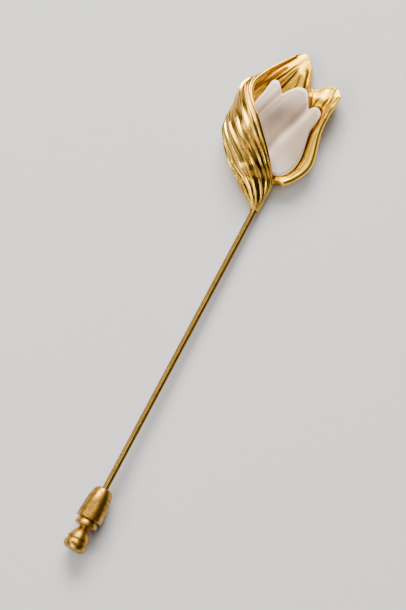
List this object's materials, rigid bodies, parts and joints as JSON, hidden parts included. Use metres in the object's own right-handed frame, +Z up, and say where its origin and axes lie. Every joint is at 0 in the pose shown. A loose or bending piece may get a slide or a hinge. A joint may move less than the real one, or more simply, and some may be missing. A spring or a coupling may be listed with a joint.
{
  "type": "scarf pin",
  "caption": "Stick pin with a ribbed gilt tulip head holding a frosted glass bud, on a straight wire with a pull-off turned guard over its point.",
  "frame": {"origin": "centre of the bounding box in X and Y, on the surface that the pin lies on", "axes": "+Y along the pin from the guard to the flower's tip, +X to the right seen from above, +Z up out of the flower's open face"},
  "size_m": [0.0138, 0.0762, 0.0061],
  "materials": {
    "gilt_casting": "polished gold plate over a casting, darker between the ribs",
    "frosted_glass": "pressed glass with an acid-frosted satin face",
    "gilt_wire": "drawn wire with polished gold plate",
    "guard_metal": "turned brass with a worn gold plate"
  },
  "bodies": {
    "pin": {"tulip_cup": "gilt_casting", "glass_bud": "frosted_glass", "pin_stem": "gilt_wire"},
    "clutch": {"clutch_barrel": "guard_metal"},
    "knob": {"clutch_knob": "guard_metal"}
  },
  "joints": [
    {"name": "clutch_slide", "type": "slide", "parent": "pin", "child": "clutch", "axis": [0, -0.9998, 0.019], "range_m": [0, 0.02]},
    {"name": "knob_pull", "type": "slide", "parent": "clutch", "child": "knob", "axis": [0, -0.9998, 0.019], "range_m": [0, 0.001], "stiffness_N_per_m": 300}
  ]
}
